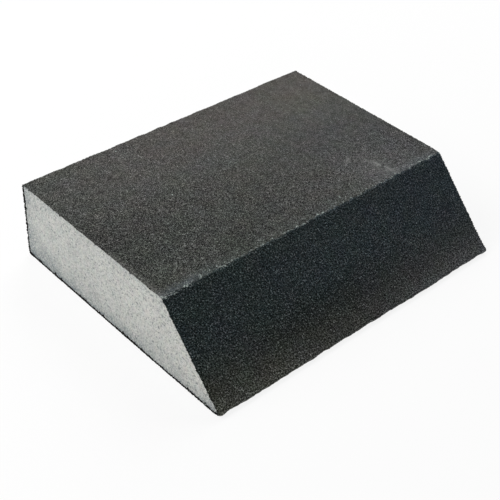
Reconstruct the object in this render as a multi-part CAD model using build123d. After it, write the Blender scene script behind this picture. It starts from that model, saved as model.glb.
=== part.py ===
from build123d import *
import math
import os

# Angled hand sanding sponge: a foam block of trapezoid section whose four long faces carry one band
# of bonded grit. The two end faces are cut foam and carry none.
#
# Frame: millimetres, +X along the length, +Z up, +Y towards the upright back, -Y towards the thin
# nose. The origin is at the middle of the base, so the sponge rests on Z = 0.

# ---- Driving dimensions, over the grit ----
length = 107.0
width = 86.5
height = 25.0
slope_angle = 46.0          # degrees, between the base and the sloping face

# ---- Coat ----
coat_thickness = 0.5

# ---- Radii of the foam's long edges, under the coat ----
back_edge_radius = 0.2
ridge_radius = 0.8
nose_radius = 0.5

# ---- Places worked out from the sizes above ----
back_y = width / 2
nose_y = -width / 2
slope = math.radians(slope_angle)
nose_centre_y = nose_y + coat_thickness + nose_radius


def foam_corners():
    """The foam's section as sharp corners in (y, z), each a coat's thickness inside the sponge."""
    low = coat_thickness
    high = height - coat_thickness
    back = back_y - coat_thickness
    nose = nose_centre_y - nose_radius / math.tan(slope / 2)
    ridge = nose + (high - low) / math.tan(slope)
    return {
        "base_back": (back, low),
        "top_back": (back, high),
        "ridge": (ridge, high),
        "nose": (nose, low),
    }


def foam_section():
    """Section of the bare foam in the YZ plane, with its four corners rounded."""
    corners = foam_corners()
    radii = {
        "base_back": back_edge_radius,
        "top_back": back_edge_radius,
        "ridge": ridge_radius,
        "nose": nose_radius,
    }
    outline = Plane.YZ * make_face(Polyline(*corners.values(), close=True))
    for name, radius in radii.items():
        corner = Vector(0, *corners[name])
        nearest = min(outline.vertices(), key=lambda vertex: (Vector(vertex) - corner).length)
        outline = fillet(nearest, radius)
    return outline


def coated_section():
    """Section over the grit: the foam's section grown by the coat, with its corners kept round."""
    return offset(foam_section(), coat_thickness, kind=Kind.ARC)


def along_length(section):
    """The section drawn out to the whole length, half to each side of the middle."""
    return extrude(section, length / 2, dir=(1, 0, 0), both=True)


foam_block = along_length(foam_section())
abrasive_coat = along_length(coated_section()) - foam_block

os.makedirs("parts", exist_ok=True)
for name, shape in {"foam_block": foam_block, "abrasive_coat": abrasive_coat}.items():
    shape.label = name
    export_step(shape, f"parts/{name}.step")
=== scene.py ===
import math

import bpy
import numpy as np
from bpy.props import FloatProperty, FloatVectorProperty, IntProperty, PointerProperty
from bpy.types import Operator, Panel, PropertyGroup
from mathutils import Matrix, Vector


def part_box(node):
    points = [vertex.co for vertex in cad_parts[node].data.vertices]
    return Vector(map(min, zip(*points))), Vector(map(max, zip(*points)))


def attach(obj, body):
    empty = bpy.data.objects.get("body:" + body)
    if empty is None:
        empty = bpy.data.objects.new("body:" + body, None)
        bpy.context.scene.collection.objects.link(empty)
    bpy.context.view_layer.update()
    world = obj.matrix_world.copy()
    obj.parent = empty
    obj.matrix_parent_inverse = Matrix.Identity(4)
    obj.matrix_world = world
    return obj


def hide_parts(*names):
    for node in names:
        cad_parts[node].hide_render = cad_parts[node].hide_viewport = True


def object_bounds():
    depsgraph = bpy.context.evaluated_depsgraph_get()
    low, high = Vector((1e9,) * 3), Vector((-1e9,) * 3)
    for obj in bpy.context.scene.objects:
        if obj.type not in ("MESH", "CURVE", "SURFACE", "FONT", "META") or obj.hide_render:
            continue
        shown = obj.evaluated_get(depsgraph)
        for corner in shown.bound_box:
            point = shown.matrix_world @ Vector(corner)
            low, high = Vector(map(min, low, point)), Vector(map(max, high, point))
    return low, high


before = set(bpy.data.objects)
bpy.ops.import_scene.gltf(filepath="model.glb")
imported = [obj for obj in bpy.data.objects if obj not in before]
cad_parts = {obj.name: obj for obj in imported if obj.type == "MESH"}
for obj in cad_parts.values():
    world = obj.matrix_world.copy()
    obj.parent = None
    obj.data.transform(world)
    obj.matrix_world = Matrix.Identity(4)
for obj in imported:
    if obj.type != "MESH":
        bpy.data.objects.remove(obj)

bl_info = {
    "name": "Angled sanding sponge",
    "version": (1, 0, 0),
    "blender": (4, 5, 0),
    "location": "3D View > Sidebar > Sanding sponge",
    "description": "Dresses a foam sanding sponge: cut foam ends and a band of bonded grit",
    "category": "Object",
}

# Metres throughout, in the row frame: +X along the sponge, +Y to its upright back, +Z up.
MM = 0.001
CAD_LOW, CAD_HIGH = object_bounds()
FOAM_LOW, FOAM_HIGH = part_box("foam_block")
COAT_LOW, COAT_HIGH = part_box("abrasive_coat")
COAT_THICKNESS = FOAM_LOW.z - COAT_LOW.z

# The grit where nothing marks it: its red and blue against green, and its lightness and calm.
PLAIN_RED = 0.95
PLAIN_BLUE = 0.9
PLAIN_TONE = 0.92
PLAIN_CALM = 0.25
# Lightness of the coat on its cut edges, where the resin shows.
CUT_TONE = 0.4


def linear(code):
    """An sRGB hex colour, such as "#8a8b88", as three linear values."""
    parts = [int(code[i:i + 2], 16) / 255 for i in (1, 3, 5)]
    return [p / 12.92 if p <= 0.04045 else ((p + 0.055) / 1.055) ** 2.4 for p in parts]


def length_prop(name, description, default_mm):
    """A length that a user may change, given in millimetres and kept in metres."""
    return FloatProperty(name=name, description=description, default=default_mm * MM,
                         subtype="DISTANCE", unit="LENGTH", precision=5)


def angle_prop(name, description, default_deg):
    """An angle that a user may change, given in degrees and kept in radians."""
    return FloatProperty(name=name, description=description, default=math.radians(default_deg),
                         subtype="ANGLE", unit="ROTATION")


def colour_prop(name, description, code):
    """A colour that a user may change, given as sRGB hex and kept linear."""
    return FloatVectorProperty(name=name, description=description, default=linear(code),
                               subtype="COLOR", size=3, min=0, max=1)


class SpongeSection(PropertyGroup):
    """The section's slope and rounded edges, as on the foam under the coat."""
    slope_angle: angle_prop("Slope", "Angle between the base and the sloping face", 46)
    back_edge_radius: length_prop("Back edges", "Radius of the two back edges of the foam", 0.2)
    ridge_radius: length_prop("Ridge", "Radius where the top meets the slope", 0.35)
    nose_radius: length_prop("Nose", "Radius of the thin front edge", 0.5)


class SpongeGrit(PropertyGroup):
    """The band of grit: how coarse it is and what colour it has."""
    grain: length_prop("Grain", "Width of one grain", 0.27)
    relief: length_prop("Relief", "Depth from the highest grain to the resin", 0.22)
    step: length_prop("Mesh step", "Spacing of the mesh on the faces that show", 0.21)
    base_step: length_prop("Base step", "Spacing of the mesh along the resting face", 0.5)
    resin: FloatProperty(name="Resin", description="Lightness of the resin, the grains being 1",
                         default=0.4, min=0, max=1)
    grey: colour_prop("Grains", "The grains' own grey", "#464646")
    # The dust colour also lays a painted sheen over the top, lighter towards its back.
    dust: colour_prop("Dust", "Fine rubbed dust that lies in the grit", "#8d8e8c")
    # Painted sheen: the colour of a pale bluish band beside the ridge.
    painted_ridge_sheen: colour_prop("Haze", "Bluish bloom on the grit beside the ridge", "#7d8a92")
    worn: colour_prop("Worn grains", "Grains chipped pale along the ridge", "#a0aaa6")
    seed: IntProperty(name="Seed", description="Starts the random places of the grains", default=11)


class SpongeFoam(PropertyGroup):
    """The cut foam: its pores and its colour."""
    pore: length_prop("Pore", "Spacing of the small pores", 0.62)
    depth: length_prop("Depth", "How deep a small pore is", 0.16)
    rise: length_prop("Rise", "How far the foam's top swells into the coat", 0.4)
    step: length_prop("Mesh step", "Spacing of the mesh on the two cut ends", 0.22)
    wall: colour_prop("Cell wall", "The foam's own colour", "#dadad4")
    hollow: colour_prop("Pore", "The shaded inside of a pore", "#868b8a")
    # Colour of the painted shade, with some grit dust, along the foam's edges by the coat.
    shade_and_soil_colour: colour_prop("Soiled edge", "Foam greyed by grit dust, next to the coat", "#788083")
    seed: IntProperty(name="Seed", description="Starts the random places of the pores", default=5)


class SpongeStudio(PropertyGroup):
    """Camera and floor."""
    azimuth: angle_prop("Azimuth", "Camera's way round the sponge, 0 being the front", -43.8)
    elevation: angle_prop("Elevation", "Camera's height above the horizon", 38.3)
    roll: angle_prop("Roll", "Camera's turn about its own line of sight", 3.0)
    distance: length_prop("Distance", "Camera's distance from the middle of the sponge", 322.4)
    aside: length_prop("Aside", "Camera's shift to its own right", -3.2)
    above: length_prop("Above", "Camera's shift upwards in its own view", -9.0)
    lens: FloatProperty(name="Lens", description="Focal length in millimetres", default=79.0)
    floor: colour_prop("Floor", "Pale studio floor", "#f8f8f8")


# ---- Shapes ---------------------------------------------------------------------------------

def section_table(section):
    """The foam's section as stretches between which everything changes evenly.

    Each row holds the length run round the coat so far, the (y, z) of a centre, the foam's radius
    about it, and the direction of the outward normal. Round a corner only the direction changes,
    and along a flat only the centre and radius do. The loop starts halfway round the edge between
    base and back, and runs up the back, over the top, down the slope and under the base.
    """
    back_r, ridge_r, nose_r = section.back_edge_radius, section.ridge_radius, section.nose_radius
    slope = section.slope_angle
    normal = np.array([-math.sin(slope), math.cos(slope)])
    base_back = np.array([FOAM_HIGH.y - back_r, FOAM_LOW.z + back_r])
    top_back = np.array([FOAM_HIGH.y - back_r, FOAM_HIGH.z - back_r])
    nose = np.array([FOAM_LOW.y + nose_r, FOAM_LOW.z + nose_r])
    ridge_z = FOAM_HIGH.z - ridge_r
    reach = normal @ nose + nose_r - ridge_r
    ridge = np.array([(normal[1] * ridge_z - reach) / math.sin(slope), ridge_z])
    up, down = math.pi / 2, math.pi * 3 / 2
    stops = [
        (base_back, back_r, -math.pi / 4), (base_back, back_r, 0),
        (top_back, back_r, 0), (top_back, back_r, up),
        (ridge, ridge_r, up), (ridge, ridge_r, up + slope),
        (nose, nose_r, up + slope), (nose, nose_r, down),
        (base_back, back_r, down), (base_back, back_r, down + math.pi / 4),
    ]
    rows, run = [], 0.0
    for i, (centre, radius, turn) in enumerate(stops):
        if i:
            before, radius_before, turn_before = stops[i - 1]
            flat = np.hypot(*(centre - before))
            run += math.sqrt(flat ** 2 - (radius - radius_before) ** 2) if flat else 0.0
            run += (radius + COAT_THICKNESS) * (turn - turn_before)
        rows.append((run, centre[0], centre[1], radius, turn))
    return np.array(rows)


def section_at(table, run, outward):
    """(y, z) on the section at this run round it, moved outward from the foam."""
    centre_y, centre_z, radius, turn = (np.interp(run, table[:, 0], table[:, k]) for k in (1, 2, 3, 4))
    reach = radius + outward
    return centre_y + reach * np.cos(turn), centre_z + reach * np.sin(turn)


def scatter(across, along, cell, loop, seed):
    """Distance from each place to the nine nearest scattered points, and what each point carries.

    The plane is cut into square cells, each with one point at a random place inside it and three
    random numbers from 0 to 1. With loop, the second direction closes on itself after that length.
    Returns (distances, numbers), with the nine points as the first axis.
    """
    rng = np.random.default_rng(seed)
    columns = int(np.ceil(np.ptp(across) / cell)) + 3
    rows = int(round(loop / cell)) if loop else int(np.ceil(np.ptp(along) / cell)) + 3
    row_size = loop / rows if loop else cell
    field = rng.random((columns, rows, 5))
    u = (across - across.min()) / cell + 1
    v = along / row_size if loop else (along - along.min()) / row_size + 1
    i, j = np.floor(u).astype(int), np.floor(v).astype(int)
    distances, numbers = [], []
    for di in (-1, 0, 1):
        for dj in (-1, 0, 1):
            point = field[np.clip(i + di, 0, columns - 1), (j + dj) % rows]
            du = u - (i + di + point[..., 0])
            dv = v - (j + dj + point[..., 1])
            distances.append(np.hypot(du * cell, dv * row_size))
            numbers.append(point[..., 2:])
    return np.array(distances), np.array(numbers)


def drift(across, along, size, seed):
    """Slow unevenness from -1 to 1: random heights on a square lattice, eased between its points.

    The lattice is fixed in space, and repeats only after 256 squares.
    """
    repeat = 256
    heights = np.random.default_rng(seed).uniform(-1, 1, (repeat, repeat))
    u, v = across / size, along / size
    i, j = np.floor(u).astype(int), np.floor(v).astype(int)
    ease_u, ease_v = (w * w * (3 - 2 * w) for w in (u - i, v - j))
    near_u, near_v, far_u, far_v = (k % repeat for k in (i, j, i + 1, j + 1))
    low = heights[near_u, near_v] * (1 - ease_u) + heights[far_u, near_v] * ease_u
    high = heights[near_u, far_v] * (1 - ease_u) + heights[far_u, far_v] * ease_u
    return low * (1 - ease_v) + high * ease_v


def closed_tube(name, grid, attributes):
    """Mesh object from a grid of points, joined round its first axis and capped at both ends of
    its second. Faces look outward where (second axis) x (first axis) does."""
    around, rows = grid.shape[:2]
    index = np.arange(around * rows).reshape(around, rows)
    after = np.roll(index, -1, axis=0)
    quads = np.stack([index[:, :-1], index[:, 1:], after[:, 1:], after[:, :-1]], axis=-1)
    corners = np.concatenate([quads.ravel(), index[:, 0], index[::-1, -1]])
    sizes = np.concatenate([np.full(quads[..., 0].size, 4), [around, around]])
    mesh = bpy.data.meshes.new(name)
    mesh.vertices.add(grid.shape[0] * rows)
    mesh.vertices.foreach_set("co", grid.astype(np.float32).ravel())
    mesh.loops.add(corners.size)
    mesh.loops.foreach_set("vertex_index", corners.astype(np.int32))
    mesh.polygons.add(sizes.size)
    mesh.polygons.foreach_set("loop_start", (np.cumsum(sizes) - sizes).astype(np.int32))
    mesh.polygons.foreach_set("loop_total", sizes.astype(np.int32))
    mesh.update(calc_edges=True)
    mesh.validate()
    for key, values in attributes.items():
        layer = mesh.attributes.new(key, "FLOAT", "POINT")
        layer.data.foreach_set("value", values.astype(np.float32).ravel())
    piece = bpy.data.objects.new(name, mesh)
    bpy.context.scene.collection.objects.link(piece)
    return piece


def grit_field(x, run, grit, loop):
    """Height of the grit, 0 in the resin and 1 at the tallest grain, and each grain's own shade.

    Every grain is a cone with its own height and steepness; the surface is the tallest cone at
    each place, over a floor of resin that is uneven by a little.
    """
    distance, number = scatter(x, run, grit.grain, loop, grit.seed)
    tip = 0.45 + 0.55 * number[..., 0]
    steepness = (0.55 + 0.9 * number[..., 1]) / grit.grain
    cone = tip - steepness * distance
    tallest = np.argmax(cone, axis=0)[None]
    height = np.take_along_axis(cone, tallest, 0)[0]
    shade = np.take_along_axis(number[..., 2], tallest, 0)[0]
    roughest_resin = 0.12
    rng = np.random.default_rng(grit.seed + 1)
    return np.maximum(height, roughest_resin * rng.random(height.shape)), shade


def fade(value, start, end):
    """0 before start and 1 after end, eased in between."""
    share = np.clip((value - start) / (end - start), 0, 1)
    return share * share * (3 - 2 * share)


def bell(distance, width):
    """1 at no distance and dying away on both sides: e to minus the square of distance over width."""
    return np.exp(-(distance / width) ** 2)


def spot(across, along, width, length):
    """A soft round or oval spot, 1 in its middle: a bell in each of two directions."""
    return np.exp(-(across / width) ** 2 - (along / length) ** 2)


def worn_end(x):
    """1 on the stretch by the -X end where the ridge is worn most, dying away along the sponge."""
    return bell(x + 0.88 * COAT_HIGH.x, 10 * MM)


def frayed_end(x, y):
    """Grit loosened along the -X cut of the top: none at the back, and growing to full at the front."""
    return 0.15 * bell(x + COAT_HIGH.x - 0.5 * MM, MM) * fade(-y, -12 * MM, 10 * MM)


def ridge_marks(x, behind_ridge, grit):
    """What the ridge has been through, as wear and rubbed dust, and a painted sheen beside it.

    Wear is the chance that a grain is chipped and pale: a thin line on the ridge that comes and
    goes along it, with more chips by its -X end, round a knock towards +X and at both tips. A few
    stray grains elsewhere are chipped too. Rubbed is dust on that same line. The third is a painted
    sheen, a pale bluish band beside it, near its two ends.
    """
    end = COAT_HIGH.x
    near, far = worn_end(x), bell(x - 0.80 * end, 9 * MM)
    knocked, tip = bell(x - 27 * MM, 10 * MM), bell(np.abs(x) - end, 3 * MM)
    along = 0.5 + 0.5 * drift(x, x * 0, 7 * MM, grit.seed + 5)
    broken = 0.8 + 0.6 * drift(x, x * 0, 1.3 * MM, grit.seed + 12)

    chance = 0.1 + 0.04 * along ** 2 + 0.08 * near + 0.07 * knocked + 0.2 * tip
    chips = bell(behind_ridge - 0.12 * MM, (0.38 + 0.3 * near) * MM)
    stray = 0.00015
    wear = chance * chips * broken + stray

    rubbed = 0.1 * bell(behind_ridge - 0.25 * MM, 0.4 * MM) * (0.7 + 0.3 * along + tip) * broken
    # Painted sheen: a pale bluish band beside the ridge, near its two ends.
    sheen = bell(np.abs(behind_ridge) - 0.8 * MM, 1.5 * MM)
    painted_ridge_sheen = (0.24 * near + 0.12 * far) * (0.7 + 0.3 * along) * sheen
    return wear, rubbed, painted_ridge_sheen


def dust_and_sheen_marks(x, y, behind_ridge, grit):
    """Dust on the top, and a painted sheen over it: the sheen is thin and grows towards the back, and
    the dust is a soft glow near the ridge towards +X with a scuff and a dab, a fine line close behind
    the ridge, and the frayed end."""
    # Painted sheen over the whole top, lighter towards its back, laid on with the dust colour.
    painted_sheen = 0.03 + 0.035 * fade(y, -12 * MM, 36 * MM)
    glow = 0.09 * spot(x - 32 * MM, np.abs(behind_ridge) - 6 * MM, 7 * MM, 7 * MM)
    line = 0.04 + 0.05 * bell(x - 38 * MM, 12 * MM)
    glow += line * bell(behind_ridge - 2 * MM, 0.9 * MM)

    # The scuff leans towards -X as it runs back, and has a softer, wider one under its front half.
    aside = x - 33.9 * MM + 0.25 * (behind_ridge - 5.5 * MM)
    scuff = 0.42 * spot(aside, behind_ridge - 7 * MM, 1.1 * MM, 3 * MM)
    scuff += 0.2 * spot(aside, behind_ridge - 4 * MM, 1.8 * MM, 5 * MM)
    # The dab is short, lies farther back and slants towards +X.
    beside_dab = x - 27.4 * MM
    across = behind_ridge - 13.9 * MM - 0.5 * beside_dab
    dab = 0.4 * spot(across, beside_dab, 0.8 * MM, 2.2 * MM)

    patchy = 0.65 + 0.8 * drift(x, y, 1.2 * MM, grit.seed + 9)
    return painted_sheen + glow + (scuff + dab) * patchy + frayed_end(x, y)


def hue_marks(x, y, on_top, on_slope, behind_ridge, from_nose, grit):
    """The grit's hue, as (red, blue), each against green.

    Red is most along the back of the top, less in its front -X corner and close behind the ridge,
    and least high on the slope. Blue is most high on the slope, towards +X, and on the top it is
    most in the front +X corner. Both drift a little everywhere.
    """
    share = x / COAT_HIGH.x
    slow_red = drift(x, from_nose, 9 * MM, grit.seed + 6)
    slow_blue = drift(x, from_nose, 9 * MM, grit.seed + 10)

    back_band = fade(y, 16 * MM, 32 * MM) * fade(x, -50 * MM, -5 * MM)
    green_corner = (1 - fade(x, -32 * MM, 2 * MM)) * (1 - fade(y, -6 * MM, 12 * MM))
    plain_corner = fade(x, 12 * MM, 30 * MM) * (1 - fade(y, 4 * MM, 22 * MM))
    greener = (1 - worn_end(x)) * (1 - 0.6 * fade(x, 15 * MM, 35 * MM))
    green_edge = bell(behind_ridge, 5 * MM) * greener
    red_top = 0.97 + 0.12 * back_band - 0.10 * green_corner - 0.11 * green_edge + frayed_end(x, y)
    blue_top = 0.87 - 0.04 * green_corner + 0.12 * plain_corner

    low_slope = 1 - fade(from_nose, 2 * MM, 20 * MM)
    red_slope = 0.66 + 0.26 * low_slope
    blue_slope = 1.12 + 0.09 * share - 0.22 * low_slope * (1 - 0.4 * share)

    red = np.select([on_top, on_slope], [red_top, red_slope], PLAIN_RED) + 0.02 * slow_red
    blue = np.select([on_top, on_slope], [blue_top, blue_slope], PLAIN_BLUE) + 0.03 * slow_blue
    return red, blue


def tone_marks(x, y, on_top, on_slope, behind_ridge, from_nose, grit):
    """Lightness of the grit, and how far it is clogged so that it looks calm, as (tone, calm).

    The top is darker over its front half and at its two ends, and lighter in its front +X corner
    and by the ridge at -X, with a darker patch beside that, partly as painted light and shade and
    partly as the grit's own. It is clogged towards +X, though not by the ridge, and a little along
    its back. The slope is lighter low down by the nose, as painted light thrown up from the floor,
    least so in the middle of its length, and darkest a little above that.
    """
    end = COAT_HIGH.x
    share = x / end
    # The top's slow changes of shade are partly painted light and shade.
    front_half = fade(-y, -24 * MM, -8 * MM)
    lighter_corner = spot(x - 35 * MM, y + 14 * MM, 22 * MM, 10 * MM)
    ends = 0.08 * bell(x + end, 14 * MM) + 0.1 * spot(x - end, y - 10 * MM, 9 * MM, 18 * MM)
    top = 0.89 + 0.05 * share - 0.12 * front_half + 0.15 * lighter_corner - ends
    top += 0.13 * spot(x + 48 * MM, behind_ridge - 7 * MM, 9 * MM, 4.5 * MM)
    top -= 0.09 * spot(x + 22 * MM, behind_ridge - 6 * MM, 9 * MM, 6 * MM)
    clogged = 0.5 * np.clip((x + 20 * MM) / (65 * MM), 0, 1) * fade(y, -12 * MM, 8 * MM)
    clogged += 0.1 * fade(y, 10 * MM, 35 * MM)
    top += (0.04 + 0.36 * clogged) * drift(x, y, 1.2 * MM, grit.seed + 16)

    # Painted light thrown up from the floor, lightening the slope low down by the nose.
    painted_floor_bounce = (1.44 + 0.14 * share) * (1 - 0.5 * bell(x, 22 * MM))
    slope = 0.81 + 0.06 * share + painted_floor_bounce * np.exp(-from_nose / (4.6 * MM))
    slope += 0.07 * spot(x + 45 * MM, from_nose - 10 * MM, 14 * MM, 7 * MM)
    slope -= 0.18 * spot(x + 14 * MM, from_nose - 10 * MM, 32 * MM, 6 * MM)
    slope_calm = 0.3 + 0.03 * fade(x, 15 * MM, 45 * MM)

    tone = np.select([on_top, on_slope], [top, slope], PLAIN_TONE)
    calm = np.select([on_top, on_slope], [clogged, slope_calm], PLAIN_CALM)
    return tone, calm


def surface_marks(x, y, on_top, on_slope, behind_ridge, from_nose, grit):
    """Handling marks and painted sheen on the grit, and its slow changes of shade, by attribute name.
    """
    wear, rubbed, painted_ridge_sheen = ridge_marks(x, behind_ridge, grit)
    # The dust also carries the painted sheen over the top.
    dust = dust_and_sheen_marks(x, y, behind_ridge, grit) * on_top + rubbed
    red, blue = hue_marks(x, y, on_top, on_slope, behind_ridge, from_nose, grit)
    tone, calm = tone_marks(x, y, on_top, on_slope, behind_ridge, from_nose, grit)
    return {"wear": wear, "dust": np.clip(dust, 0, 1), "painted_ridge_sheen": np.clip(painted_ridge_sheen * on_top, 0, 1),
            "red": red, "blue": blue, "tone": tone, "calm": calm}


def glitter(shape, seed):
    """Unevenness from one mesh point to the next, without a slow part: random numbers less the
    mean of the 25 round each."""
    around = 2
    chance = np.random.default_rng(seed).standard_normal([n + 2 * around for n in shape])
    windows = np.lib.stride_tricks.sliding_window_view(chance, (2 * around + 1, 2 * around + 1))
    return chance[around:-around, around:-around] - windows.mean(axis=(2, 3))


def edge_runs(table):
    """Run round the coat at the middle of the top's back edge, of the ridge and of the nose."""
    return [(table[stop, 0] + table[stop + 1, 0]) / 2 for stop in (2, 4, 6)]


def worn_in(x, run, runs, grit):
    """How far the grit lies inside its even section, or proud of it where this is below 0.

    The nose wavers along its length, is blunt at its -X corner, and stands proud just beside that
    and at +X. The base is pressed up along the -X cut, behind the nose. The back edge of the top is
    uneven and a little proud, and the ridge is bitten. Each dies away as a bell round its own edge.
    """
    top_run, ridge_run, nose_run = runs
    waver = drift(x, run * 0, 5 * MM, grit.seed + 2)
    lumps = drift(x, run * 0, 2 * MM, grit.seed + 8)
    flared = 0.08 * bell(x - COAT_HIGH.x, 1.5 * MM)
    flared += 0.3 * bell(x - COAT_LOW.x - 1.4 * MM, 1.2 * MM)
    blunt = 0.5 * bell(x - COAT_LOW.x, 0.4 * MM)
    sink = (0.05 + 0.14 * waver + 0.12 * lumps - flared + blunt) * MM * bell(run - nose_run, 1.5 * MM)
    under = np.maximum(run - nose_run, 0)
    sink += 0.33 * MM * spot(x - COAT_LOW.x, under, 2 * MM, 24 * MM) * (run > nose_run)
    uneven = 0.1 * drift(x, run * 0, 2.5 * MM, grit.seed + 14) - 0.08
    sink += uneven * MM * bell(run - top_run, 1.2 * MM)
    bitten = 0.17 * drift(x, run, 1.1 * MM, grit.seed + 7) - 0.05 * waver
    sink += bitten * MM * bell(run - ridge_run, 0.7 * MM)
    return sink


def trim_ends(x, ring, runs, rng):
    """Moves the places along X by the cut: ragged on the first and last ring, less so under the
    base, and hollow on the +X end of the slope. Returns that hollow's depth round the ring."""
    ridge_run, nose_run = runs[1:]
    ragged = (rng.random((2, ring.size)) ** 2 * 0.4 - 0.1) * MM
    ragged *= np.where(ring > nose_run, 0.4, 1.0)
    x[0] += ragged[0]
    x[-1] -= ragged[1]
    hollow = 0.26 * MM * fade(nose_run - ring, MM, 9 * MM) * fade(ring, ridge_run - 3 * MM, ridge_run)
    x -= hollow * fade(x, COAT_HIGH.x - 4 * MM, COAT_HIGH.x)
    return hollow


def coat_inside(table, ring, hollow, runs, rng, grit):
    """The inner side of a strip as four rings, from its +X end to its -X end.

    The two middle rings lie on the foam. The outer two are the cut edges seen on the foam: toothed
    by bells at scattered places, thicker at the nose, under the base and at the lower back edge,
    and thinner on the top.
    """
    top_run, ridge_run, nose_run = runs
    soak, set_in = 0.6 * MM, 0.05 * MM
    distance, number = scatter(ring, ring * 0, 1.6 * MM, 0, grit.seed + 4)
    teeth = np.where(ring > nose_run, 1.3, 0.8) * number[..., 0] * bell(distance, 0.26 * MM)
    thicker = 0.3 * bell(ring - nose_run, 1.6 * MM)
    thicker += 0.4 * bell(table[-1, 0] - ring, 2.5 * MM)
    thicker += (0.2 + 0.42 * bell(ring - nose_run, 22 * MM)) * (ring > nose_run)
    thicker -= 0.35 * ((ring > top_run) & (ring < ridge_run))
    bite = teeth.max(axis=0) + 0.45 * rng.random(ring.size) - 0.25
    least = -0.38
    rings = (
        (COAT_HIGH.x - set_in - hollow, np.maximum(bite + thicker, least) * MM),
        (COAT_HIGH.x - soak, 0 * bite),
        (COAT_LOW.x + soak, 0 * bite),
        (COAT_LOW.x + set_in, np.maximum(bite[::-1] + thicker, least) * MM),
    )
    inside = []
    for place, depth in rings:
        inner_y, inner_z = section_at(table, ring, -depth)
        inside.append(np.stack([np.broadcast_to(place, ring.shape), inner_y, inner_z], axis=-1))
    return np.array(inside)


def grit_look(x, y, run, height, shade, runs, grit):
    """All that the grit's material reads on the outside of a strip, by attribute name.

    Spark is the fine glitter, painted glints that lighten some mesh points and darken others: on the
    slope, most in its middle and more towards -X than +X, and on the top only close behind the ridge
    towards +X.
    """
    top_run, ridge_run, nose_run = runs
    from_ridge, from_nose = np.abs(run - ridge_run), np.abs(run - nose_run)
    # The change from top to slope shows a little behind the middle of the ridge, grain by grain.
    toothed = 0.35 * drift(x, run * 0, 0.8 * MM, grit.seed + 13)
    change = ridge_run - (0.25 + 0.4 * (shade - 0.5) + toothed) * MM
    on_top = (run > top_run) & (run < change)
    on_slope = (run >= change) & (run < nose_run)

    middle = fade(from_ridge, 4 * MM, 12 * MM) * fade(from_nose, 3 * MM, 9 * MM)
    low = 1 - fade(from_nose, 3 * MM, 10 * MM)
    sparkle = (0.84 + 0.14 * middle + 0.12 * low - 0.16 * x / COAT_HIGH.x) * on_slope
    sparkle += 0.4 * spot(x - 2 * MM, from_ridge - 12 * MM, 30 * MM, 14 * MM) * on_slope
    sparkle += 0.38 * spot(x - 34 * MM, from_ridge - 2 * MM, 11 * MM, 3.5 * MM) * on_top
    least_spark = 0.1
    spark = np.maximum(1 + sparkle * glitter(x.shape, grit.seed + 15), least_spark)

    marks = {"relief": height, "shade": shade, "spark": spark,
             **surface_marks(x, y, on_top, on_slope, change - run, from_nose, grit)}
    edge_tone_on_top = 0.9
    marks["tone"][[0, -1]] = np.where(on_top[[0, -1]], edge_tone_on_top, CUT_TONE)
    return marks


def grit_strip(name, table, start, end, length_step, grit):
    """One face of the coat, from run start to run end, as a closed slab.

    The outside is the section's outline carried along X and moved outward by the height of the
    grit, half of which stands proud of the outline except on the base, where the tallest grains
    just reach it. The inside lies on the foam. At each end the coat's cut edge is ragged, and for
    a short way resin has soaked into the foam.
    """
    rows = math.ceil((end - start) / grit.step) + 1
    columns = math.ceil((COAT_HIGH.x - COAT_LOW.x) / length_step) + 1
    x, run = np.meshgrid(np.linspace(COAT_LOW.x, COAT_HIGH.x, columns),
                         np.linspace(start, end, rows), indexing="ij")
    runs = edge_runs(table)
    height, shade = grit_field(x, run, grit, table[-1, 0])
    turn = np.interp(run, table[:, 0], table[:, 4])
    proud = 0.5 * grit.relief * np.clip(1 + np.sin(turn), 0, 1)
    outward = COAT_THICKNESS - grit.relief * (1 - height) + proud - worn_in(x, run, runs, grit)
    y, z = section_at(table, run, outward)
    z = np.maximum(z, COAT_LOW.z)

    rng = np.random.default_rng(grit.seed + 3)
    ring = run[0]
    hollow = trim_ends(x, ring, runs, rng)
    outside = np.stack([x, y, z], axis=-1)
    inside = coat_inside(table, ring, hollow, runs, rng, grit)

    marks = grit_look(x, y, run, height, shade, runs, grit)
    hidden = {"relief": 0.3, "shade": 0.3, "spark": 1.0, "red": PLAIN_RED, "blue": PLAIN_BLUE,
              "tone": CUT_TONE}
    attributes = {key: np.concatenate([marks[key], np.full(inside.shape[:2], hidden.get(key, 0.0))])
                  for key in marks}
    return closed_tube(name, np.concatenate([outside, inside]), attributes)


def foam_side(table, first, last, height):
    """y on one side of the foam's section, from stop first to stop last, at each of these heights."""
    run = np.linspace(table[first, 0], table[last, 0], 400)
    y, z = section_at(table, run, 0.0)
    rising = np.argsort(z)
    return np.interp(height, z[rising], y[rising])


def pore_field(y, z, foam, seed):
    """Depth of the pores, as the deepest of round bowls scattered over the cut: 0 on the cut, up to
    1 in the many small ones and up to 1.6 in the few wide ones.

    A bowl is its own depth times 1 less the square of the distance from its middle in radii.
    """
    distance, number = scatter(y, z, foam.pore, 0, seed)
    radius = foam.pore * (0.25 + 0.35 * number[..., 0])
    small = (0.35 + 0.65 * number[..., 1]) * (1 - (distance / radius) ** 2)
    distance, number = scatter(y, z, 4 * foam.pore, 0, seed + 1)
    radius = foam.pore * (0.2 + 0.7 * number[..., 0])
    few = number[..., 1] > 0.55
    wide_depth = 1.6
    wide = wide_depth * few * (1 - (distance / radius) ** 2)
    return np.maximum(np.clip(small, 0, 1).max(axis=0), np.clip(wide, 0, 2).max(axis=0))


def open_cells(y, z):
    """Chance that a cell of the foam is cut open and dark: it grows towards the nose and the top."""
    forward = (FOAM_HIGH.y - y) / (FOAM_HIGH.y - FOAM_LOW.y)
    return 0.025 + 0.12 * forward ** 2 + 0.055 * fade(z, 14 * MM, 22 * MM)


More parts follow.
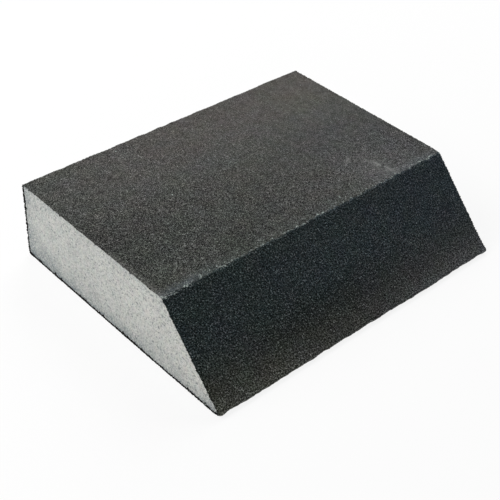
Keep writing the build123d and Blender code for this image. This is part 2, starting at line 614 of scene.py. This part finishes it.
def edge_shade_and_soil(y, z, back, seed):
    """How far the foam is greyed, from 0 to 1, by painted shade with some grit dust: most at the base,
    where it dies away over 5 mm, or over 2 mm towards the nose; less along the top and the back; and
    slow blotches all over, which are stronger to the back."""
    from_base, from_top, from_back = z - FOAM_LOW.z, FOAM_HIGH.z - z, back - y
    uneven = 1 + 0.35 * drift(y, z, 3 * MM, seed + 3)
    at_nose = fade(-y, -FOAM_LOW.y - 24 * MM, -FOAM_LOW.y - 8 * MM)
    reach = (5 - 3 * at_nose) * MM
    edge = (0.44 + 0.26 * at_nose) * np.exp(-from_base / reach)
    edge += 0.3 * np.exp(-from_base / (0.8 * MM))
    edge += 0.15 * np.exp(-np.abs(from_top) / (1.8 * MM))
    edge += 0.28 * np.exp(-from_back / (1.5 * MM))
    backward = (y - FOAM_LOW.y) / (FOAM_HIGH.y - FOAM_LOW.y)
    blotch = (0.065 + 0.26 * backward ** 2) * (1 + 0.5 * drift(y, z, 5 * MM, seed + 4))
    return np.clip(edge * uneven + blotch, 0, 1)


def foam_piece(name, table, foam):
    """The foam as slices of the section stacked in Z.

    Each slice is a loop: across one cut end, along the back, across the other end and back along
    the slope. The cut ends are moved in by their pores and a slow wave; the long sides are
    straight, under the coat. Above its section the foam swells into the coat on the top, and there
    it keeps back from the ridge, so that none shows through.
    """
    recess, wave, keep_back = 0.1 * MM, 0.05 * MM, 1.2 * MM
    levels = math.ceil((FOAM_HIGH.z - FOAM_LOW.z) / foam.step) + 1
    across = math.ceil((FOAM_HIGH.y - FOAM_LOW.y) / foam.step) + 1
    height = np.linspace(FOAM_LOW.z, FOAM_HIGH.z + foam.rise, levels)
    front = foam_side(table, 4, 7, height)
    front += keep_back * np.clip((height - FOAM_HIGH.z) / foam.rise, 0, 1)
    back = foam_side(table, 0, 3, height)
    share, z = np.meshgrid(np.linspace(0, 1, across), height, indexing="ij")
    y = front + (back - front) * share
    # Each end: its place, the way into the foam, the order that keeps the loop going, and a seed.
    cuts = ((FOAM_LOW.x, 1, 1, foam.seed), (FOAM_HIGH.x, -1, -1, foam.seed + 7))
    ends, pits, shades_and_soils, opened = [], [], [], []
    for end_x, inward, order, seed in cuts:
        pit = pore_field(y, z, foam, seed)
        swell = drift(y, z, 6 * MM, seed + 2)
        x = end_x + inward * (recess + foam.depth * pit + wave * (1 + swell))
        ends.append(np.stack([x, y, z], axis=-1)[::order])
        pits.append(pit[::order])
        shades_and_soils.append(edge_shade_and_soil(y, z, back, seed)[::order])
        opened.append(open_cells(y, z)[::order])
    attributes = {"pore": np.concatenate(pits), "shade_and_soil": np.concatenate(shades_and_soils),
                  "opened": np.concatenate(opened)}
    return closed_tube(name, np.concatenate(ends), attributes)


# ---- Materials ------------------------------------------------------------------------------

def add(tree, kind, inputs=(), **settings):
    """Adds a node: settings are its own properties, and inputs pairs a socket with a value or
    with the output that feeds it."""
    made = tree.nodes.new(kind)
    for key, value in settings.items():
        setattr(made, key, value)
    for socket, value in dict(inputs).items():
        if isinstance(value, bpy.types.NodeSocket):
            tree.links.new(value, made.inputs[socket])
        else:
            made.inputs[socket].default_value = value
    return made


def new_material(name):
    """An empty node material, with its tree."""
    material = bpy.data.materials.new(name)
    material.use_nodes = True
    material.node_tree.nodes.clear()
    return material, material.node_tree


def rgba(colour):
    """A linear colour with full alpha, as colour sockets take it."""
    return (*colour, 1.0)


def tint_drift(tree, place, size, strength):
    """A colour close to white that drifts between warm, green, blue and purple over this size, to
    multiply another colour by."""
    cloud = add(tree, "ShaderNodeTexNoise", {"Vector": place, "Scale": 1 / size, "Detail": 1.0})
    spread = add(tree, "ShaderNodeVectorMath", {
        0: cloud.outputs["Color"], 1: (strength,) * 3, 2: (1 - strength / 2,) * 3},
        operation="MULTIPLY_ADD")
    return spread.outputs[0]


def grit_material(grit):
    """Aluminium oxide grit bonded in phenolic resin, electrostatically coated: the eye sees dark
    crystals of uneven shade standing in darker resin, dull overall with broken glints."""
    crystal_face, chip = 0.5 * grit.grain, 1.4 * grit.grain
    # A face lights up while its own chance plus this share of the tone rises from lit_from to lit_at.
    tone_share, lit_from, lit_at = 0.8, 1.21, 1.51
    # Lightness of a dull face and of a fully lit one, against the grains' own grey.
    dull, brightest = 0.03, 3.98
    # The average lightness of all the faces, as a slope and a start over the tone.
    average_slope, average_start = 1.04, 0.29
    material, tree = new_material("bonded_aluminium_oxide_grit")
    place = add(tree, "ShaderNodeTexCoord").outputs["Object"]
    names = ("shade", "relief", "spark", "wear", "dust", "painted_ridge_sheen", "red", "blue", "tone", "calm")
    shade, relief, spark, wear, dust, painted_ridge_sheen, red, blue, tone, calm = (
        add(tree, "ShaderNodeAttribute", attribute_name=name).outputs["Fac"] for name in names)

    # Each crystal face has one shade of its own.
    faces = add(tree, "ShaderNodeTexVoronoi", {"Vector": place, "Scale": 1 / crystal_face})
    chance = add(tree, "ShaderNodeSeparateColor", {"Color": faces.outputs["Color"]}).outputs
    # Where the tone is low fewer faces are bright but each is brighter; where it is high they are
    # all brighter.
    fewer = add(tree, "ShaderNodeMath", {0: tone, 1: 1.0}, operation="MINIMUM")
    raised = add(tree, "ShaderNodeMath", {0: tone, 1: 1.0}, operation="MAXIMUM")
    sparser = add(tree, "ShaderNodeMath", {0: fewer.outputs[0], 1: -1.5, 2: 1.5},
                  operation="MULTIPLY_ADD")
    stronger = add(tree, "ShaderNodeMath", {0: raised.outputs[0], 1: sparser.outputs[0]},
                   operation="ADD")
    odds = add(tree, "ShaderNodeMath", {0: fewer.outputs[0], 1: tone_share, 2: chance["Red"]},
               operation="MULTIPLY_ADD")
    lit_face = add(tree, "ShaderNodeMapRange", {"Value": odds.outputs[0], "From Min": lit_from,
                                                "From Max": lit_at})
    lit_grain = add(tree, "ShaderNodeMapRange", {"Value": shade, "To Min": 0.7, "To Max": 1.3})
    lit = add(tree, "ShaderNodeMath", {0: lit_face.outputs[0], 1: lit_grain.outputs[0]},
              operation="MULTIPLY")
    bright = add(tree, "ShaderNodeMapRange", {"Value": lit.outputs[0], "To Min": dull,
                                              "To Max": brightest}, clamp=False)
    gain = add(tree, "ShaderNodeMath", {0: bright.outputs[0], 1: stronger.outputs[0]},
               operation="MULTIPLY")

    # The hue is in the resin and the dull faces; a face that catches the light is nearer grey.
    hue = add(tree, "ShaderNodeCombineColor", {"Red": red, "Green": 1.0, "Blue": blue})
    plainer = add(tree, "ShaderNodeMath", {0: lit.outputs[0], 1: 0.6}, operation="MULTIPLY",
                  use_clamp=True)
    hued = add(tree, "ShaderNodeMix", {"Factor": plainer.outputs[0], 6: hue.outputs[0],
                                       7: (1, 1, 1, 1)}, data_type="RGBA")
    tinted = add(tree, "ShaderNodeVectorMath", {0: hued.outputs[2], 1: grit.grey},
                 operation="MULTIPLY")

    # The resin between the grains is darker than they are.
    grains = add(tree, "ShaderNodeMapRange", {"Value": relief, "From Min": 0.2, "From Max": 0.6,
                                              "To Min": grit.resin})
    depth = add(tree, "ShaderNodeMath", {0: gain.outputs[0], 1: grains.outputs[0]},
                operation="MULTIPLY")
    # Where the grit is clogged, the light and dark faces come closer to their own average.
    average = add(tree, "ShaderNodeMath", {
        0: fewer.outputs[0], 1: average_slope, 2: average_start}, operation="MULTIPLY_ADD")
    level = add(tree, "ShaderNodeMath", {0: average.outputs[0], 1: raised.outputs[0]},
                operation="MULTIPLY")
    calmer = add(tree, "ShaderNodeMix", {"Factor": calm, "A": depth.outputs[0],
                                         "B": level.outputs[0]})
    # The spark paints fine glints into the colour.
    sparked = add(tree, "ShaderNodeMath", {0: calmer.outputs[0], 1: spark}, operation="MULTIPLY")
    shaded = add(tree, "ShaderNodeVectorMath", {0: tinted.outputs[0], 1: sparked.outputs[0]},
                 operation="MULTIPLY")
    mottled = add(tree, "ShaderNodeVectorMath", {
        0: shaded.outputs[0], 1: tint_drift(tree, place, 6 * MM, 0.17)}, operation="MULTIPLY")

    # Dust and painted sheen are caught unevenly, more by some grains than by others.
    caught = add(tree, "ShaderNodeMapRange", {"Value": shade, "To Min": 0.4, "To Max": 1.6})
    covered = mottled.outputs[0]
    for amount, colour in ((dust, grit.dust), (painted_ridge_sheen, grit.painted_ridge_sheen)):
        share = add(tree, "ShaderNodeMath", {0: amount, 1: caught.outputs[0]}, operation="MULTIPLY")
        covered = add(tree, "ShaderNodeMix", {"Factor": share.outputs[0], 6: covered,
                                              7: rgba(colour)}, data_type="RGBA").outputs[2]

    # Chips are pale and a little wider than a grain.
    chips = add(tree, "ShaderNodeTexVoronoi", {"Vector": place, "Scale": 1 / chip})
    lot = add(tree, "ShaderNodeSeparateColor", {"Color": chips.outputs["Color"]}).outputs["Green"]
    chipped = add(tree, "ShaderNodeMath", {0: lot, 1: wear}, operation="LESS_THAN")
    colour = add(tree, "ShaderNodeMix", {"Factor": chipped.outputs[0], 6: covered,
                                         7: rgba(grit.worn)}, data_type="RGBA")
    bump = add(tree, "ShaderNodeBump", {"Height": faces.outputs["Distance"], "Distance": 0.06 * MM,
                                        "Strength": 0.7})
    shader = add(tree, "ShaderNodeBsdfPrincipled", {
        "Base Color": colour.outputs[2], "Roughness": 0.55, "IOR": 1.5, "Specular IOR Level": 0.02,
        "Normal": bump.outputs[0]})
    add(tree, "ShaderNodeOutputMaterial", {"Surface": shader.outputs[0]})
    return material


def foam_material(foam):
    """Open-cell polyurethane foam, sliced: the eye sees a pale matt cut, softly speckled by pores
    and greyed by painted shade, with some grit dust, where it meets the grit."""
    cell, wide_cell = 0.26 * MM, 0.45 * MM
    # How far the darkest cell, a gaping cell and a pore each turn the colour to the hollow's.
    dark_share, gaping_share, pore_share = 0.74, 0.6, 0.3
    material, tree = new_material("sliced_polyurethane_foam")
    place = add(tree, "ShaderNodeTexCoord").outputs["Object"]
    pore, shade_and_soil, opened = (add(tree, "ShaderNodeAttribute", attribute_name=name).outputs["Fac"]
                          for name in ("pore", "shade_and_soil", "opened"))

    # Most cells are pale, since the power keeps dark ones rare, and a few wide ones gape.
    cells = add(tree, "ShaderNodeTexVoronoi", {"Vector": place, "Scale": 1 / cell})
    chance = add(tree, "ShaderNodeSeparateColor", {"Color": cells.outputs["Color"]}).outputs
    rare = add(tree, "ShaderNodeMath", {0: chance["Red"], 1: 4.0}, operation="POWER")
    wider = add(tree, "ShaderNodeTexVoronoi", {"Vector": place, "Scale": 1 / wide_cell})
    lot = add(tree, "ShaderNodeSeparateColor", {"Color": wider.outputs["Color"]}).outputs["Green"]
    gaping = add(tree, "ShaderNodeMath", {0: lot, 1: opened}, operation="LESS_THAN")
    deep = add(tree, "ShaderNodeMath", {0: gaping.outputs[0], 1: gaping_share},
               operation="MULTIPLY")
    fleck = add(tree, "ShaderNodeMath", {0: rare.outputs[0], 1: dark_share, 2: deep.outputs[0]},
                operation="MULTIPLY_ADD")
    both = add(tree, "ShaderNodeMath", {0: pore, 1: pore_share, 2: fleck.outputs[0]},
               operation="MULTIPLY_ADD", use_clamp=True)
    cut = add(tree, "ShaderNodeMix", {"Factor": both.outputs[0], 6: rgba(foam.wall),
                                      7: rgba(foam.hollow)}, data_type="RGBA")
    clouded = add(tree, "ShaderNodeVectorMath", {
        0: cut.outputs[2], 1: tint_drift(tree, place, 1.8 * MM, 0.1)}, operation="MULTIPLY")

    # The painted shade and grit dust by the edges are caught unevenly, more by some cells than by
    # others.
    caught = add(tree, "ShaderNodeMath", {0: chance["Blue"], 1: 1.4, 2: 0.3},
                 operation="MULTIPLY_ADD")
    shade_and_grime = add(tree, "ShaderNodeMath", {0: shade_and_soil, 1: caught.outputs[0]}, operation="MULTIPLY",
                use_clamp=True)
    colour = add(tree, "ShaderNodeMix", {"Factor": shade_and_grime.outputs[0], 6: clouded.outputs[0],
                                         7: rgba(foam.shade_and_soil_colour)}, data_type="RGBA")
    shader = add(tree, "ShaderNodeBsdfPrincipled", {
        "Base Color": colour.outputs[2], "Roughness": 0.9, "IOR": 1.5, "Specular IOR Level": 0.3})
    add(tree, "ShaderNodeOutputMaterial", {"Surface": shader.outputs[0]})
    return material


def seen_directly(tree):
    """1 for camera, glossy and transmission rays, 0 for rays that only carry light."""
    path = add(tree, "ShaderNodeLightPath").outputs
    glossy = add(tree, "ShaderNodeMath", {0: path["Is Camera Ray"], 1: path["Is Glossy Ray"]},
                 operation="MAXIMUM")
    every = add(tree, "ShaderNodeMath", {0: glossy.outputs[0], 1: path["Is Transmission Ray"]},
                operation="MAXIMUM")
    return every.outputs[0]


def floor_material(studio):
    """Matt white studio paper: mostly shown as white, with enough of its own light and shade left
    near the sponge to carry its shadow, and none far off."""
    bleaching_from, bleached_at, white_near = 0.12, 0.4, 0.87
    material, tree = new_material("matt_studio_paper")
    paper = add(tree, "ShaderNodeBsdfDiffuse", {"Color": rgba(studio.floor)})
    white = add(tree, "ShaderNodeEmission", {"Color": (1, 1, 1, 1), "Strength": 1.0})
    place = add(tree, "ShaderNodeTexCoord").outputs["Object"]
    away = add(tree, "ShaderNodeVectorMath", {0: place}, operation="LENGTH")
    bleached = add(tree, "ShaderNodeMapRange", {
        "Value": away.outputs["Value"], "From Min": bleaching_from, "From Max": bleached_at,
        "To Min": white_near, "To Max": 1.0})
    share = add(tree, "ShaderNodeMath", {0: seen_directly(tree), 1: bleached.outputs[0]},
                operation="MULTIPLY")
    mixed = add(tree, "ShaderNodeMixShader", {0: share.outputs[0], 1: paper.outputs[0],
                                              2: white.outputs[0]})
    add(tree, "ShaderNodeOutputMaterial", {"Surface": mixed.outputs[0]})
    return material


def studio_world():
    """White where it is looked at, and a low even light on everything else."""
    fill_light = 0.08
    world = bpy.data.worlds.new("studio")
    world.use_nodes = True
    tree = world.node_tree
    tree.nodes.clear()
    strength = add(tree, "ShaderNodeMapRange", {"Value": seen_directly(tree), "To Min": fill_light,
                                                "To Max": 1.0})
    light = add(tree, "ShaderNodeBackground", {"Color": (1, 1, 1, 1),
                                               "Strength": strength.outputs[0]})
    add(tree, "ShaderNodeOutputWorld", {"Surface": light.outputs[0]})
    return world


# ---- Operators ------------------------------------------------------------------------------

class SPONGE_OT_stage(Operator):
    """Makes the camera, the pale floor, the world and the soft lamps"""
    bl_idname = "sanding_sponge.stage"
    bl_label = "Studio stage"

    def execute(self, context):
        scene = context.scene
        studio = scene.sponge_studio
        scene.view_settings.view_transform = "Standard"
        scene.world = studio_world()
        centre = (CAD_LOW + CAD_HIGH) / 2
        self.make_camera(scene, studio, centre)
        self.make_floor(scene, studio)
        size = (CAD_HIGH - CAD_LOW).length
        self.make_lamp(scene, "back_left_softbox", centre, Vector((-0.9, 0.6, 1.0)), size, 4.0)
        self.make_lamp(scene, "back_right_softbox", centre, Vector((0.8, 0.7, 1.0)), size, 3.0)
        return {"FINISHED"}

    def make_camera(self, scene, studio, centre):
        """Camera on a sphere round the sponge, looking inward and rolled about its own axis."""
        azimuth, elevation = studio.azimuth, studio.elevation
        back = Vector((math.sin(azimuth) * math.cos(elevation),
                       -math.cos(azimuth) * math.cos(elevation), math.sin(elevation)))
        right = Vector((math.cos(azimuth), math.sin(azimuth), 0))
        up = back.cross(right)
        data = bpy.data.cameras.new("camera")
        data.lens = studio.lens
        data.clip_start = 0.01
        camera = bpy.data.objects.new("camera", data)
        scene.collection.objects.link(camera)
        turned = Matrix((right, up, back)).transposed() @ Matrix.Rotation(studio.roll, 3, "Z")
        place = centre + back * studio.distance + right * studio.aside + up * studio.above
        camera.matrix_world = Matrix.Translation(place) @ turned.to_4x4()
        scene.camera = camera

    def make_floor(self, scene, studio):
        """A wide flat sheet under the sponge."""
        reach = 4.0
        corners = [(-reach, -reach, 0), (reach, -reach, 0), (reach, reach, 0), (-reach, reach, 0)]
        mesh = bpy.data.meshes.new("studio_floor")
        mesh.from_pydata(corners, [], [(0, 1, 2, 3)])
        floor = bpy.data.objects.new("studio_floor", mesh)
        scene.collection.objects.link(floor)
        mesh.materials.append(floor_material(studio))

    def make_lamp(self, scene, name, centre, toward, size, power):
        """A square softbox, three sponges wide and five away, aimed at the sponge."""
        data = bpy.data.lights.new(name, "AREA")
        data.size = 3 * size
        data.energy = power
        lamp = bpy.data.objects.new(name, data)
        scene.collection.objects.link(lamp)
        toward.normalize()
        place = centre + toward * 5 * size
        turned = toward.to_track_quat("Z", "Y").to_matrix().to_4x4()
        lamp.matrix_world = Matrix.Translation(place) @ turned


class SPONGE_OT_foam(Operator):
    """Makes the foam block with its two cut ends"""
    bl_idname = "sanding_sponge.foam"
    bl_label = "Foam block"

    def execute(self, context):
        scene = context.scene
        foam = scene.sponge_foam
        table = section_table(scene.sponge_section)
        piece = foam_piece("foam", table, foam)
        piece.data.materials.append(foam_material(foam))
        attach(piece, "root")
        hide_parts("foam_block")
        return {"FINISHED"}


class SPONGE_OT_coat(Operator):
    """Makes the band of grit as five strips that share their edges, two on the top and one to each
    other face"""
    bl_idname = "sanding_sponge.coat"
    bl_label = "Grit coat"

    def execute(self, context):
        scene = context.scene
        grit = scene.sponge_grit
        table = section_table(scene.sponge_section)
        top_back, ridge, nose = edge_runs(table)
        top_middle = (top_back + ridge) / 2
        strips = (
            ("grit_back", table[0, 0], top_back, grit.step),
            ("grit_top_rear", top_back, top_middle, grit.step),
            ("grit_top_front", top_middle, ridge, grit.step),
            ("grit_slope", ridge, nose, grit.step),
            ("grit_base", nose, table[-1, 0], grit.base_step),
        )
        material = grit_material(grit)
        for name, start, end, length_step in strips:
            piece = grit_strip(name, table, start, end, length_step, grit)
            piece.data.materials.append(material)
            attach(piece, "root")
            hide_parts("abrasive_coat")
        return {"FINISHED"}


class SPONGE_PT_panel(Panel):
    """Lists the steps that make the sponge"""
    bl_idname = "SPONGE_PT_panel"
    bl_label = "Sanding sponge"
    bl_space_type = "VIEW_3D"
    bl_region_type = "UI"
    bl_category = "Sanding sponge"

    def draw(self, context):
        for operator in OPERATORS:
            self.layout.operator(operator.bl_idname)


GROUPS = {
    "sponge_section": SpongeSection,
    "sponge_grit": SpongeGrit,
    "sponge_foam": SpongeFoam,
    "sponge_studio": SpongeStudio,
}
OPERATORS = (SPONGE_OT_stage, SPONGE_OT_foam, SPONGE_OT_coat)


def register():
    for made in (*GROUPS.values(), *OPERATORS, SPONGE_PT_panel):
        bpy.utils.register_class(made)
    for name, group in GROUPS.items():
        setattr(bpy.types.Scene, name, PointerProperty(type=group))


def unregister():
    for name in GROUPS:
        delattr(bpy.types.Scene, name)
    for made in (SPONGE_PT_panel, *reversed(OPERATORS), *reversed(GROUPS.values())):
        bpy.utils.unregister_class(made)


def main():
    """Makes the whole scene."""
    register()
    bpy.ops.sanding_sponge.stage()
    bpy.ops.sanding_sponge.foam()
    bpy.ops.sanding_sponge.coat()


if __name__ == "__main__":
    main()
